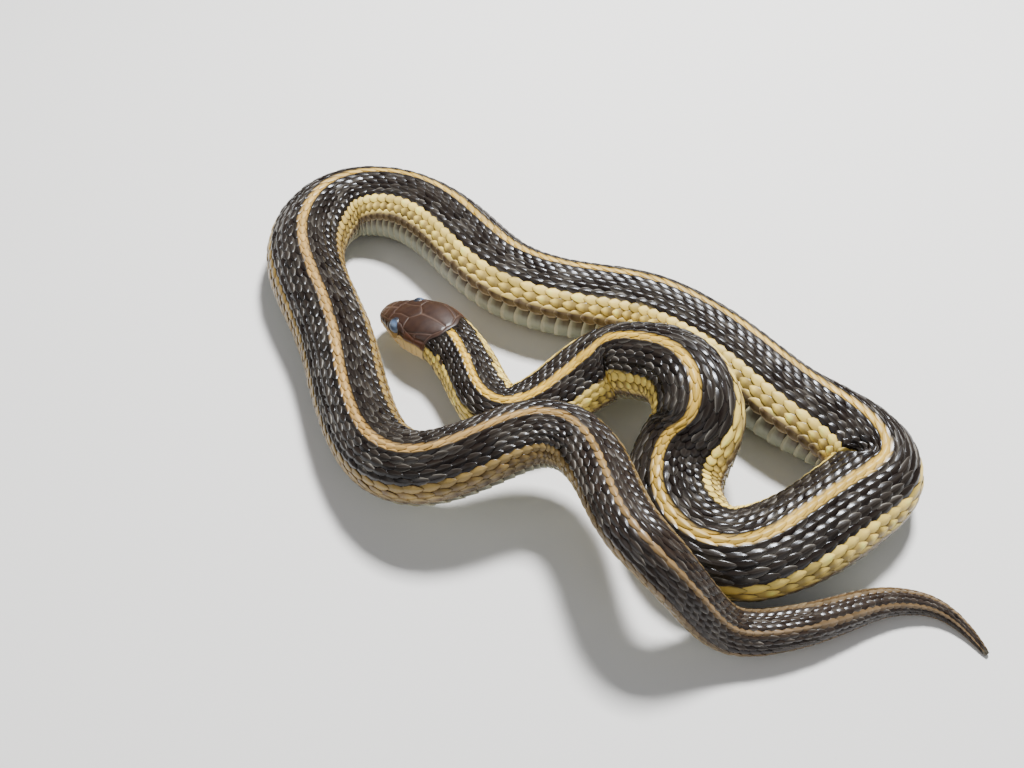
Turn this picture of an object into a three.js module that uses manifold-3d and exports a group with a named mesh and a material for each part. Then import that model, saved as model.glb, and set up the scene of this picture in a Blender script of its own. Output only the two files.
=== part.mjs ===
// A garter snake lying in loose curves, as a set of solids that follow one another along its spine.
// Millimetres, +Z up, the floor at z = 0, the origin under the middle of the bounding box.
import * as THREE from 'three';
import { mergeVertices } from 'three/addons/utils/BufferGeometryUtils.js';
import Module from 'manifold-3d';

// Driving dimensions
const HEAD_LENGTH = 20;
const NODE_GAP = 0.3;
const BODY_SIDES = 28;
const RING_STEP = 3;
const INNER_SQUEEZE = 0.86;
const SQUEEZE_BLEND = 1.2;
const SPAN_SAMPLES = 24;

const EYE_RADIUS = 1.8;
const EYE_DISTANCE = 7.5;
const EYE_SIDE = 3.7;
const EYE_RISE = 1.8;

const NOSTRIL_RADIUS = 0.42;
const NOSTRIL_DISTANCE = 1.9;
const NOSTRIL_SIDE = 2.95;
const NOSTRIL_RISE = 0.75;

const MOUTH_DEPTH = 0.3;
const MOUTH_CORNER = 15.2;
const JAW_INSET = 0.95;
const BROW_SWELL = 0.35;

// Spine control points from the snout to the tip of the tail: x, y, height of the axis, width, depth of body
const SPINE = [
  // head and nape
  [-42.3, 18.6, 5.0, 4.0, 4.0],
  [-39.4, 16.9, 5.8, 8.2, 7.0],
  [-34.4, 12.9, 6.6, 12.0, 9.4],
  [-28.9, 10.0, 7.3, 12.6, 10.6],
  // neck, turning under the later body
  [-23.2, 2.3, 5.8, 13.0, 11.4],
  [-19.5, -8.0, 5.5, 13.0, 11.6],
  [-15.0, -12.0, 5.5, 13.0, 11.6],
  [-7.0, -10.0, 6.0, 14.2, 12.4],
  // first bow, lifted over the long back length
  [5.0, 0.5, 8.8, 16.4, 14.0],
  [12.0, -2.5, 13.0, 17.4, 15.0],
  [20.5, -8.5, 17.0, 17.4, 15.0],
  [23.0, -18.5, 15.5, 17.8, 15.0],
  [21.0, -22.0, 11.0, 18.8, 15.0],
  [16.5, -28.5, 6.8, 19.0, 15.0],
  // near loop and the tight fold on the right
  [17.5, -40.0, 7.3, 18.4, 15.0],
  [26.5, -46.5, 7.2, 18.0, 15.0],
  [40.0, -41.5, 7.2, 18.4, 15.0],
  [49.5, -34.5, 7.2, 18.6, 15.0],
  [58.5, -27.0, 7.4, 18.0, 15.0],
  [54.0, -17.5, 7.2, 18.2, 15.0],
  // long back length
  [41.5, -10.5, 7.2, 19.0, 15.0],
  [31.5, 4.5, 7.2, 19.0, 15.0],
  [16.5, 18.0, 7.2, 19.0, 15.0],
  [3.0, 19.0, 7.2, 19.0, 15.0],
  [-16.0, 25.0, 7.2, 19.0, 15.0],
  [-27.0, 42.5, 7.2, 19.0, 15.0],
  // far left bend
  [-39.5, 54.0, 7.2, 19.0, 15.0],
  [-56.5, 55.0, 7.2, 18.8, 15.0],
  [-63.5, 39.0, 7.2, 18.0, 15.0],
  [-59.5, 24.5, 7.1, 17.2, 14.8],
  [-51.5, 9.5, 6.9, 16.4, 14.4],
  [-47.5, -6.5, 6.6, 15.8, 14.0],
  // rise across the neck to the vent
  [-41.0, -23.0, 7.6, 15.2, 13.8],
  [-31.5, -30.5, 11.8, 14.8, 13.4],
  [-20.5, -28.5, 15.0, 14.2, 12.8],
  [-10.0, -23.0, 16.0, 13.6, 12.4],
  [-1.5, -25.0, 16.2, 12.8, 12.0],
  // tail, over the near loop and down to the floor
  [3.0, -34.0, 17.2, 11.6, 11.0],
  [5.5, -46.0, 19.6, 10.8, 10.4],
  [11.0, -53.0, 20.0, 10.0, 9.6],
  [18.2, -56.6, 10.2, 9.2, 9.0],
  [24.0, -59.0, 3.7, 8.6, 8.4],
  [32.5, -58.6, 4.0, 8.0, 7.8],
  [43.5, -55.5, 3.1, 7.0, 6.8],
  [52.5, -51.5, 2.6, 5.8, 5.6],
  [63.0, -51.5, 1.6, 3.8, 3.8],
  [68.0, -56.5, 0.9, 2.2, 2.3],
  [70.5, -61.5, 0.4, 0.9, 1.0],
];

// Where each length of the body starts, in mm from the snout; the tail starts at the vent
const LENGTHS = [
  ['neck', HEAD_LENGTH],
  ['torso_1', 46],
  ['torso_2', 76],
  ['torso_3', 105],
  ['torso_4', 130],
  ['torso_5', 150],
  ['torso_6', 178],
  ['torso_7', 214],
  ['torso_8', 250],
  ['torso_9', 290],
  ['torso_10', 330],
  ['torso_11', 372],
  ['torso_12', 405],
  ['tail_1', 432],
  ['tail_2', 462],
  ['tail_3', 495],
];

// Head outline by distance from the snout: distance, half width, rise above the axis, depth below it
const HEAD_PROFILE = [
  [0.0, 1.0, 0.6, 0.5],
  [0.35, 2.0, 1.35, 1.2],
  [1.0, 2.8, 1.75, 1.7],
  [2.2, 3.5, 2.2, 2.1],
  [4.2, 4.4, 2.8, 2.6],
  [7.2, 5.5, 3.6, 3.3],
  [10.0, 6.4, 4.15, 3.9],
  [13.4, 6.85, 4.6, 4.4],
  [16.5, 6.7, 4.9, 4.8],
  [20.2, 6.4, 5.25, 5.25],
];

const skin = (name, color, roughness) => new THREE.MeshStandardMaterial({ name, color, roughness, metalness: 0 });
const HEAD_SKIN = skin('head_skin', 0x4a352d, 0.45);
const BODY_SKIN = skin('body_skin', 0x2b2a30, 0.42);
const TAIL_SKIN = skin('tail_skin', 0x37353a, 0.48);
const EYE_CORNEA = skin('eye_cornea', 0x6d86ab, 0.15);

// Value of a uniform cubic B-spline span at t, for one coordinate of four neighbouring control points
function splineBlend(a, b, c, d, t) {
  const early = (1 - t) ** 3 * a + (3 * t ** 3 - 6 * t ** 2 + 4) * b;
  const late = (-3 * t ** 3 + 3 * t ** 2 + 3 * t + 1) * c + t ** 3 * d;
  return (early + late) / 6;
}

// Dense samples of the whole spine, each with its distance from the snout
function sampleSpine() {
  const last = SPINE.length - 1;
  const before = SPINE[0].map((v, k) => 2 * v - SPINE[1][k]);
  const after = SPINE[last].map((v, k) => 2 * v - SPINE[last - 1][k]);
  const points = [before, ...SPINE, after];
  const samples = [];
  for (let i = 0; i < last; i += 1) {
    for (let n = 0; n < SPAN_SAMPLES; n += 1) {
      const t = n / SPAN_SAMPLES;
      samples.push(SPINE[0].map((_, k) => splineBlend(...points.slice(i, i + 4).map((p) => p[k]), t)));
    }
  }
  samples.push(SPINE[last]);
  let distance = 0;
  return samples.map(([x, y, z, width, height], i) => {
    if (i > 0) {
      const [px, py, pz] = samples[i - 1];
      distance += Math.hypot(x - px, y - py, z - pz);
    }
    return { place: new THREE.Vector3(x, y, z), width, height, distance };
  });
}

const SAMPLES = sampleSpine();
const TOTAL_LENGTH = SAMPLES[SAMPLES.length - 1].distance;

// Place, width and depth of the body at a distance from the snout
function spineAt(distance) {
  const d = THREE.MathUtils.clamp(distance, 0, TOTAL_LENGTH);
  let i = 1;
  while (i < SAMPLES.length - 1 && SAMPLES[i].distance < d) i += 1;
  const a = SAMPLES[i - 1];
  const b = SAMPLES[i];
  const t = (d - a.distance) / (b.distance - a.distance);
  return {
    place: a.place.clone().lerp(b.place, t),
    width: THREE.MathUtils.lerp(a.width, b.width, t),
    height: THREE.MathUtils.lerp(a.height, b.height, t),
  };
}

// Directions at a distance from the snout: along towards the tail, left of the animal, and up
function frameAt(distance) {
  const reach = 0.8;
  const from = Math.max(0, distance - reach);
  const to = Math.min(TOTAL_LENGTH, distance + reach);
  const along = spineAt(to).place.sub(spineAt(from).place).normalize();
  const left = along.clone().cross(new THREE.Vector3(0, 0, 1)).normalize();
  const up = left.clone().cross(along);
  return { along, left, up };
}

// Bend of the spine towards the left of the animal, in 1/mm
function bendAt(distance) {
  const reach = 1.5;
  const before = frameAt(distance - reach).along;
  const after = frameAt(distance + reach).along;
  return after.sub(before).divideScalar(2 * reach).dot(frameAt(distance).left);
}

// The smaller of two values, with a rounded changeover
function softMinimum(a, b) {
  const h = THREE.MathUtils.clamp(0.5 + (b - a) / (2 * SQUEEZE_BLEND), 0, 1);
  return b + (a - b) * h - SQUEEZE_BLEND * h * (1 - h);
}

// One ring of the body: an oval pressed flat on the floor and drawn in on the inside of a tight bend
function bodyRing(distance) {
  const { place, width, height } = spineAt(distance);
  const { left, up } = frameAt(distance);
  const bend = bendAt(distance);
  const inner = softMinimum(width / 2, INNER_SQUEEZE / Math.max(Math.abs(bend), 1e-6));
  const ring = [];
  for (let k = 0; k < BODY_SIDES; k += 1) {
    const turn = (2 * Math.PI * k) / BODY_SIDES;
    const side = Math.sin(turn);
    const half = side * bend > 0 ? inner : width / 2;
    const point = place.clone();
    point.addScaledVector(left, half * side);
    point.addScaledVector(up, (height / 2) * Math.cos(turn));
    point.z = Math.max(point.z, 0);
    ring.push(point);
  }
  return ring;
}

// Closed geometry through rings of equal size, with a flat fan on each end
function loft(rings) {
  const sides = rings[0].length;
  const positions = rings.flat().flatMap((p) => [p.x, p.y, p.z]);
  const indices = [];
  for (let i = 0; i < rings.length - 1; i += 1) {
    for (let k = 0; k < sides; k += 1) {
      const a = i * sides + k;
      const b = i * sides + ((k + 1) % sides);
      indices.push(a, b, b + sides, a, b + sides, a + sides);
    }
  }
  [0, rings.length - 1].forEach((i) => {
    const middle = rings[i].reduce((sum, p) => sum.add(p), new THREE.Vector3()).divideScalar(sides);
    const centre = positions.length / 3;
    positions.push(middle.x, middle.y, middle.z);
    for (let k = 0; k < sides; k += 1) {
      const a = i * sides + k;
      const b = i * sides + ((k + 1) % sides);
      indices.push(...(i === 0 ? [centre, b, a] : [centre, a, b]));
    }
  });
  const geometry = new THREE.BufferGeometry();
  geometry.setAttribute('position', new THREE.Float32BufferAttribute(positions, 3));
  geometry.setIndex(indices);
  return geometry;
}

// A length of neck, torso or tail between two distances from the snout
function bodyLength(start, end) {
  const steps = Math.max(4, Math.round((end - start) / RING_STEP));
  const rings = [];
  for (let i = 0; i <= steps; i += 1) {
    rings.push(bodyRing(start + ((end - start) * i) / steps));
  }
  return loft(rings);
}

// Half width, rise and depth of the head, eased between the rows of its profile
function headSizeAt(distance) {
  let i = 1;
  while (i < HEAD_PROFILE.length - 1 && HEAD_PROFILE[i][0] < distance) i += 1;
  const [from, ...low] = HEAD_PROFILE[i - 1];
  const [to, ...high] = HEAD_PROFILE[i];
  const t = (distance - from) / (to - from);
  return low.map((v, k) => THREE.MathUtils.lerp(v, high[k], t));
}

// Angle of the mouth line from the crown, in degrees; it rises towards the corner of the jaw
function mouthAngleAt(distance) {
  return 116 - 12 * THREE.MathUtils.smoothstep(distance, 6, MOUTH_CORNER);
}

// Angles round one side of the head from the crown to the chin, closer together at the mouth line
function headAngles(distance) {
  const mouth = mouthAngleAt(distance);
  const lip = 6;
  const upper = Array.from({ length: 10 }, (_, k) => ((mouth - lip) * k) / 9);
  const lower = Array.from({ length: 7 }, (_, k) => mouth + lip + ((180 - mouth - lip) * k) / 6);
  return [...upper, mouth, ...lower];
}

// One point of the head surface at a distance from the snout and an angle from the crown
function headPoint(distance, angle, side) {
  const [halfWidth, rise, depth] = headSizeAt(distance);
  const { place } = spineAt(distance);
  const { left, up } = frameAt(Math.max(distance, 2));
  const mouth = mouthAngleAt(distance);
  const squareness = 0.72 + 0.28 * THREE.MathUtils.smoothstep(distance, 13, HEAD_LENGTH);
  const turn = THREE.MathUtils.degToRad(angle);
  const across = Math.abs(Math.sin(turn)) ** squareness;
  const high = Math.sign(Math.cos(turn)) * Math.abs(Math.cos(turn)) ** squareness;
  const fade = 1 - THREE.MathUtils.smoothstep(distance, MOUTH_CORNER - 1.5, MOUTH_CORNER + 1);
  const jaw = angle > mouth ? 1 - (1 - JAW_INSET) * fade : 1;
  const groove = Math.abs(angle - mouth) < 1 ? MOUTH_DEPTH * fade * THREE.MathUtils.smoothstep(distance, -0.4, 0.8) : 0;
  const brow = BROW_SWELL * Math.exp(-(((distance - EYE_DISTANCE) / 1.9) ** 2) - ((angle - 50) / 14) ** 2);
  const reach = Math.max(halfWidth * across * jaw - groove + brow, 0);
  const offset = (high > 0 ? rise : depth) * high + 0.35 * brow;
  const point = place.clone();
  point.addScaledVector(left, side * (angle === 0 || angle === 180 ? 0 : reach));
  point.addScaledVector(up, offset);
  return point;
}

// One full ring of the head: crown, left side, chin, right side
function headRing(distance) {
  const angles = headAngles(distance);
  const leftSide = angles.map((angle) => headPoint(distance, angle, 1));
  const rightSide = angles.slice(1, -1).reverse().map((angle) => headPoint(distance, angle, -1));
  return [...leftSide, ...rightSide];
}

// Rings stand close together on the rounded snout and round the eyes
function headRings() {
  const distances = [0, 0.15, 0.35, 0.65, 1.0, 1.5];
  for (let d = 2.2; d < HEAD_LENGTH - 0.5; d += 0.72) distances.push(d);
  distances.push(HEAD_LENGTH - NODE_GAP / 2);
  return distances.map(headRing);
}

const wasm = await Module();
wasm.setup();

// Solid of a closed geometry
function solidOf(geometry) {
  const bare = geometry.clone();
  bare.deleteAttribute('normal');
  bare.deleteAttribute('uv');
  const merged = mergeVertices(bare, 1e-5);
  const vertProperties = new Float32Array(merged.attributes.position.array);
  const triVerts = new Uint32Array(merged.index.array);
  return new wasm.Manifold(new wasm.Mesh({ numProp: 3, vertProperties, triVerts }));
}

// Geometry of a solid
function geometryOf(solid) {
  const { vertProperties, triVerts } = solid.getMesh();
  const geometry = new THREE.BufferGeometry();
  geometry.setAttribute('position', new THREE.BufferAttribute(vertProperties, 3));
  geometry.setIndex(new THREE.BufferAttribute(triVerts, 1));
  return geometry;
}

// Centre of an eye or nostril, set out from the axis of the head; side is 1 on the left and -1 on the right
function headPlace(distance, sideways, rise, side) {
  const { place } = spineAt(distance);
  const { left, up } = frameAt(distance);
  return place.clone().addScaledVector(left, side * sideways).addScaledVector(up, rise);
}

// Ball turned so that its poles point to the sides of the head
function ball(radius, centre, distance, across, down) {
  const { along, left, up } = frameAt(distance);
  const geometry = new THREE.SphereGeometry(radius, across, down);
  const turn = new THREE.Matrix4().makeBasis(up, left, along);
  geometry.applyMatrix4(turn);
  geometry.translate(centre.x, centre.y, centre.z);
  return geometry;
}

function eyeCentre(side) {
  return headPlace(EYE_DISTANCE, EYE_SIDE, EYE_RISE, side);
}

// Head with both eye sockets and both nostril pits cut out of it
function headGeometry() {
  let solid = solidOf(loft(headRings()));
  [1, -1].forEach((side) => {
    const socket = ball(EYE_RADIUS + NODE_GAP, eyeCentre(side), EYE_DISTANCE, 24, 16);
    const nostrilCentre = headPlace(NOSTRIL_DISTANCE, NOSTRIL_SIDE, NOSTRIL_RISE, side);
    const nostril = ball(NOSTRIL_RADIUS, nostrilCentre, NOSTRIL_DISTANCE, 12, 8);
    solid = solid.subtract(solidOf(socket)).subtract(solidOf(nostril));
  });
  return geometryOf(solid);
}

function addNode(group, name, geometry, material) {
  const mesh = new THREE.Mesh(geometry, material);
  mesh.name = name;
  group.add(mesh);
}

const snake = new THREE.Group();
addNode(snake, 'head', headGeometry(), HEAD_SKIN);
addNode(snake, 'eye_left', ball(EYE_RADIUS, eyeCentre(1), EYE_DISTANCE, 24, 16), EYE_CORNEA);
addNode(snake, 'eye_right', ball(EYE_RADIUS, eyeCentre(-1), EYE_DISTANCE, 24, 16), EYE_CORNEA);
LENGTHS.forEach(([name, start], i) => {
  const next = i + 1 < LENGTHS.length ? LENGTHS[i + 1][1] : TOTAL_LENGTH + NODE_GAP / 2;
  const material = name.startsWith('tail') ? TAIL_SKIN : BODY_SKIN;
  addNode(snake, name, bodyLength(start + NODE_GAP / 2, next - NODE_GAP / 2), material);
});

export default snake;
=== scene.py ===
"""Garter snake: hide, scales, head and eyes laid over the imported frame, with a stage and a camera."""

from functools import partial

import bpy
import numpy as np
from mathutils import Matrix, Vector


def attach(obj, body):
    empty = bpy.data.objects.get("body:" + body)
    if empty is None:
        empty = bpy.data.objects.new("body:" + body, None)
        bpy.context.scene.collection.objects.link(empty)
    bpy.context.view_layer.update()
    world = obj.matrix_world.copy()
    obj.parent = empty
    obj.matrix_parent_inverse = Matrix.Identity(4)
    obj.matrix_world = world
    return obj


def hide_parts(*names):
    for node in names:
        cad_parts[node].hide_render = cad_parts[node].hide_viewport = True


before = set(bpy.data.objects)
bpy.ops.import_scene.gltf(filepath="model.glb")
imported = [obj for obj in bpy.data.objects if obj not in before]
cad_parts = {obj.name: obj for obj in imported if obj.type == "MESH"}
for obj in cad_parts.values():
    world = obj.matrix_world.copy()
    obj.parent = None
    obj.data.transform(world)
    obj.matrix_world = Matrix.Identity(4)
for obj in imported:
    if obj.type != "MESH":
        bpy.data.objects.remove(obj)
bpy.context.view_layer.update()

bl_info = {
    "name": "Garter Snake",
    "version": (1, 0, 0),
    "blender": (4, 5, 0),
    "location": "3D View > Sidebar > Snake",
    "description": "Builds the hide, scales, head and eyes of a garter snake on its packed frame",
    "category": "Object",
}

MM = 0.001

# Floor and camera, in metres and degrees; the lens is as long as the sensor is wide, in millimetres
FLOOR_REACH = 1.6
FLOOR_GAP = 0.00005
CAMERA_PITCH = 50.0
CAMERA_AIM = (-0.0138, 0.0017, 0.0)
CAMERA_DISTANCE = 0.222
CAMERA_LENS = 36.0

# Spine control points from the snout to the tip of the tail, in millimetres and degrees:
# x, y, height of the axis, width, depth of body, roll of the crown towards the left
SPINE = np.array([
    # head and nape
    [-42.3, 18.6, 5.0, 4.0, 4.0, 0],
    [-39.4, 16.9, 5.8, 8.2, 7.0, 0],
    [-34.4, 12.9, 6.6, 12.0, 9.4, 0],
    [-28.9, 10.0, 7.3, 12.6, 10.6, 2],
    # neck, turning under the later body
    [-23.2, 2.3, 5.8, 13.0, 11.4, 7],
    [-19.5, -8.0, 5.5, 13.0, 11.6, 17],
    [-15.0, -12.0, 5.5, 13.0, 11.6, 8],
    [-7.0, -10.0, 6.0, 14.2, 12.4, 0],
    # first bow, lifted over the long back length
    [5.0, 0.5, 8.8, 16.4, 14.0, -4],
    [12.0, -2.5, 13.0, 17.4, 15.0, 4],
    [20.5, -8.5, 17.0, 17.4, 15.0, 8],
    [23.0, -18.5, 15.5, 17.8, 15.0, 13],
    [21.0, -22.0, 11.0, 18.8, 15.0, 21],
    [16.5, -28.5, 6.8, 19.0, 15.0, 30],
    # near loop and the tight fold on the right
    [17.5, -40.0, 7.3, 18.4, 15.0, 30],
    [26.5, -46.5, 7.2, 18.0, 15.0, 12],
    [40.0, -41.5, 7.2, 18.4, 15.0, -12],
    [49.5, -34.5, 7.2, 18.6, 15.0, -13],
    [58.5, -27.0, 7.4, 18.0, 15.0, 3],
    [54.0, -17.5, 7.2, 18.2, 15.0, 14],
    # long back length
    [41.5, -10.5, 7.2, 19.0, 15.0, 36],
    [31.5, 4.5, 7.2, 19.0, 15.0, 36],
    [16.5, 18.0, 7.2, 19.0, 15.0, 26],
    [3.0, 19.0, 7.2, 19.0, 15.0, 30],
    [-16.0, 25.0, 7.2, 19.0, 15.0, 29],
    [-27.0, 42.5, 7.2, 19.0, 15.0, 31],
    # far left bend
    [-39.5, 54.0, 7.2, 19.0, 15.0, 34],
    [-56.5, 55.0, 7.2, 18.8, 15.0, 14],
    [-63.5, 39.0, 7.2, 18.0, 15.0, -1],
    [-59.5, 24.5, 7.1, 17.2, 14.8, -6],
    [-51.5, 9.5, 6.9, 16.4, 14.4, 2],
    [-47.5, -6.5, 6.6, 15.8, 14.0, 8],
    # rise across the neck to the vent
    [-41.0, -23.0, 7.6, 15.2, 13.8, 14],
    [-31.5, -30.5, 11.8, 14.8, 13.4, 4],
    [-20.5, -28.5, 15.0, 14.2, 12.8, -11],
    [-10.0, -23.0, 16.0, 13.6, 12.4, -12],
    [-1.5, -25.0, 16.2, 12.8, 12.0, -2],
    # tail, over the near loop and down to the floor
    [3.0, -34.0, 17.2, 11.6, 11.0, 8],
    [5.5, -46.0, 19.6, 10.8, 10.4, 15],
    [11.0, -53.0, 20.0, 10.0, 9.6, 18],
    [18.2, -56.6, 10.2, 9.2, 9.0, 22],
    [24.0, -59.0, 3.7, 8.6, 8.4, 28],
    [32.5, -58.6, 4.0, 8.0, 7.8, 30],
    [43.5, -55.5, 3.1, 7.0, 6.8, 38],
    [52.5, -51.5, 2.6, 5.8, 5.6, 44],
    [63.0, -51.5, 1.6, 3.8, 3.8, 48],
    [68.0, -56.5, 0.9, 2.2, 2.3, 50],
    [70.5, -61.5, 0.4, 0.9, 1.0, 50],
])

# Head outline by distance from the snout: distance, half width, rise above the axis, depth below it
HEAD_PROFILE = np.array([
    [0.0, 1.0, 0.6, 0.5],
    [0.35, 2.0, 1.35, 1.2],
    [1.0, 2.8, 1.75, 1.7],
    [2.2, 3.5, 2.2, 2.1],
    [4.2, 4.4, 2.8, 2.6],
    [7.2, 5.5, 3.6, 3.3],
    [10.0, 6.4, 4.15, 3.9],
    [13.4, 6.85, 4.6, 4.4],
    [16.5, 6.7, 4.9, 4.8],
    [20.2, 6.4, 5.25, 5.25],
])

# Spine: samples a span, the tables' step, and how far on each side a direction and a bend are measured, in mm
SPAN_SAMPLES = 24
TABLE_STEP = 0.25
DIRECTION_REACH = 0.8
BEND_REACH = 1.5
# Inside of a tight bend: half width as a share of the bend's radius, and the width of the rounded changeover
INNER_SQUEEZE = 0.86
SQUEEZE_BLEND = 1.2
# Distances from the snout: the straight snout, where the head's section starts to round, its end, the vent
SNOUT_STRAIGHT = 2.0
HEAD_ROUNDS = 13.0
HEAD_LENGTH = 20.0
VENT = 432.0

# Rings of the head and of the hide: points in a ring, where the hide starts, its step, where the head ends
HEAD_SIDES = 360
HIDE_SIDES = 96
HIDE_START = 18.6
HIDE_STEP = 1.2
HEAD_END = 20.4

# Power of the head's section, under 1 for flatter sides, and places and sizes of the head's features in mm
HEAD_SQUARENESS = 0.72
MOUTH_CORNER = 15.2
LIP_FADE = 15.0
LIP_END = 16.4
BROW_SWELL = 0.35
EYE_RADIUS = 1.8
EYE_DISTANCE = 7.5
EYE_SIDE = 3.7
EYE_RISE = 1.8
NOSTRIL_DISTANCE = 1.9
NOSTRIL_SIDE = 2.95
NOSTRIL_RISE = 0.75

# Width of each row of scales in degrees, from the half row on the crown down the flank
ROW_WIDTHS = (4.6, 11.0, 11.0, 11.2, 11.2, 11.4, 13.0, 13.0, 15.2)
TAIL_ROW_WIDTHS = (6.5, 13.5, 13.0, 14.0, 17.0, 18.0, 18.6)
TIP_ROW_WIDTHS = (11.0, 23.0, 24.0, 22.0, 20.6)
TAIL_TIP = 496.0

# Length of one scale's step along the body: distance from the snout, step
SCALE_PITCH = np.array([
    [12.0, 1.2],
    [22.0, 1.6],
    [60.0, 2.25],
    [110.0, 2.6],
    [330.0, 2.6],
    [430.0, 2.3],
    [480.0, 1.9],
    [520.0, 1.35],
    [540.0, 0.85],
])
SCALES_START = 12.0
FULL_PITCH = 2.5
PITCH_SAMPLES = 8000

# Belly scutes: first distance in mm, and half width of a wide one, turn and half width of a pair in degrees
BELLY_START = 15.0
BELLY_HALF = 80.5
PAIR_TURN = 140.0
PAIR_HALF = 42.0

# How far the walls of scales and scutes go down into the hide, and a plate's share of the bake map
WALL_DEPTH = 0.1
BAKE_PATCH = 0.003

# Turns from the crown, in degrees, where the crown stripe, dark field, side stripe and lowest row end
STRIPE_EDGE = 8.6
FIELD_END = 60.4
SIDE_END = 91.0
LOW_END = 101.6


def smoothstep(x, low, high):
    """Eased ramp: 3t^2 - 2t^3, where t is the place of x between low and high, held at 0 and 1."""
    t = np.clip((np.asarray(x, float) - low) / (high - low), 0, 1)
    return t * t * (3 - 2 * t)


def spline(points):
    """Uniform cubic B-spline: each span blends four neighbouring points by the usual cubic weights."""
    ends = np.vstack([2 * points[0] - points[1], points, 2 * points[-1] - points[-2]])
    t = np.arange(SPAN_SAMPLES)[:, None] / SPAN_SAMPLES
    weights = np.hstack([(1 - t) ** 3, 3 * t**3 - 6 * t**2 + 4, -3 * t**3 + 3 * t**2 + 3 * t + 1, t**3]) / 6
    spans = np.stack([ends[i:len(points) - 1 + i] for i in range(4)], axis=1)
    return np.vstack([np.einsum("tk,skc->stc", weights, spans).reshape(-1, points.shape[1]), points[-1:]])


def unit(vectors):
    """Vectors divided by their own lengths."""
    return vectors / np.linalg.norm(vectors, axis=-1, keepdims=True)


class Body:
    """The spine as tables by distance from the snout, and the surface of the animal built on them."""

    def __init__(self):
        self.samples = spline(SPINE)
        steps = np.linalg.norm(np.diff(self.samples[:, :3], axis=0), axis=1)
        self.travelled = np.concatenate([[0], np.cumsum(steps)])
        self.length = self.travelled[-1]
        self.at = np.arange(0, self.length + TABLE_STEP, TABLE_STEP)
        rows = self.row(self.at)
        on_head = self.at < HEAD_LENGTH
        self.along = self.direction(np.where(on_head, np.maximum(self.at, SNOUT_STRAIGHT), self.at))
        self.left = unit(np.cross(self.along, [0, 0, 1.0]))
        self.up = np.cross(self.left, self.along)
        change = self.direction(self.at + BEND_REACH) - self.direction(self.at - BEND_REACH)
        self.bend = np.sum(change / (2 * BEND_REACH) * self.left, axis=1)
        head_at, *sizes = HEAD_PROFILE.T
        half, rise, depth = (np.interp(self.at, head_at, size) for size in sizes)
        self.half = np.where(on_head, half, rows[:, 3] / 2)
        self.rise = np.where(on_head, rise, rows[:, 4] / 2)
        self.depth = np.where(on_head, depth, rows[:, 4] / 2)
        rounding = smoothstep(self.at, HEAD_ROUNDS, HEAD_LENGTH)
        self.square = np.where(on_head, HEAD_SQUARENESS + (1 - HEAD_SQUARENESS) * rounding, 1.0)
        squeezed = soft_minimum(self.half, INNER_SQUEEZE / np.maximum(np.abs(self.bend), 1e-6))
        self.inner = np.where(on_head, self.half, squeezed)
        self.place = rows[:, :3]
        self.roll = rows[:, 5]

    def row(self, distance):
        """Place, sizes and roll at each distance, straight between the samples of the spine."""
        columns = [np.interp(distance, self.travelled, column) for column in self.samples.T]
        return np.stack(columns, axis=-1)

    def direction(self, distance):
        """Unit vector towards the tail, from a place a little before to one a little after."""
        before = self.row(np.clip(distance - DIRECTION_REACH, 0, self.length))[:, :3]
        after = self.row(np.clip(distance + DIRECTION_REACH, 0, self.length))[:, :3]
        return unit(after - before)

    def read(self, table, distance):
        """Value of a table at each distance, straight between its entries."""
        place = np.clip(np.asarray(distance, float), 0, self.length) / TABLE_STEP
        low = np.clip(place.astype(int), 0, len(table) - 2)
        part = place - low
        if table.ndim > 1:
            part = part[..., None]
        return table[low] * (1 - part) + table[low + 1] * part

    def point(self, distance, turn, lift):
        """Point at a distance and a turn in degrees from the crown, positive to the left, raised by lift.

        The section is an oval: sideways it goes as the sine and upwards as the cosine of the turn, both to
        the power that squares the head. The turn is spaced evenly round the girth. The inside of a tight bend
        is drawn in, and nothing goes below the floor.
        """
        distance, turn, lift = np.broadcast_arrays(*(np.asarray(v, float) for v in (distance, turn, lift)))
        half, rise, depth = (self.read(t, distance) for t in (self.half, self.rise, self.depth))
        inner, square = self.read(self.inner, distance), self.read(self.square, distance)
        flat = (half - (rise + depth) / 2) / (2 * half + rise + depth)
        even = np.radians(turn + self.read(self.roll, distance))
        angle = even - flat * np.sin(2 * even)
        side, high = np.sin(angle), np.cos(angle)
        reach = np.where(side * self.read(self.bend, distance) > 0, inner, half)
        height = np.where(high > 0, rise, depth)
        across = np.sign(side) * np.abs(side) ** square * reach
        upward = np.sign(high) * np.abs(high) ** square * height
        outward = unit(np.stack([side / reach, high / height], axis=-1))
        across = across + outward[..., 0] * lift
        upward = upward + outward[..., 1] * lift
        left, up = self.read(self.left, distance), self.read(self.up, distance)
        points = self.read(self.place, distance) + left * across[..., None] + up * upward[..., None]
        points[..., 2] = np.maximum(points[..., 2], np.maximum(-lift, 0))
        return points

    def girth(self, distance):
        """Length round the body, pi times the sum of its half width and half depth."""
        half, rise, depth = (self.read(t, distance) for t in (self.half, self.rise, self.depth))
        return np.pi * (half + (rise + depth) / 2)


def soft_minimum(a, b):
    """The smaller of two values with a rounded changeover."""
    h = np.clip(0.5 + (b - a) / (2 * SQUEEZE_BLEND), 0, 1)
    return b + (a - b) * h - SQUEEZE_BLEND * h * (1 - h)


BODY = Body()


def tint(*levels):
    """Linear colour of screen levels from 0 to 255."""
    c = np.array(levels, float) / 255
    return np.where(c <= 0.04045, c / 12.92, ((c + 0.055) / 1.055) ** 2.4)


def blend(low, high, mask):
    """Colours mixed by a mask: low where it is 0 and high where it is 1."""
    mask = np.asarray(mask)[..., None]
    return low * (1 - mask) + high * mask


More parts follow.
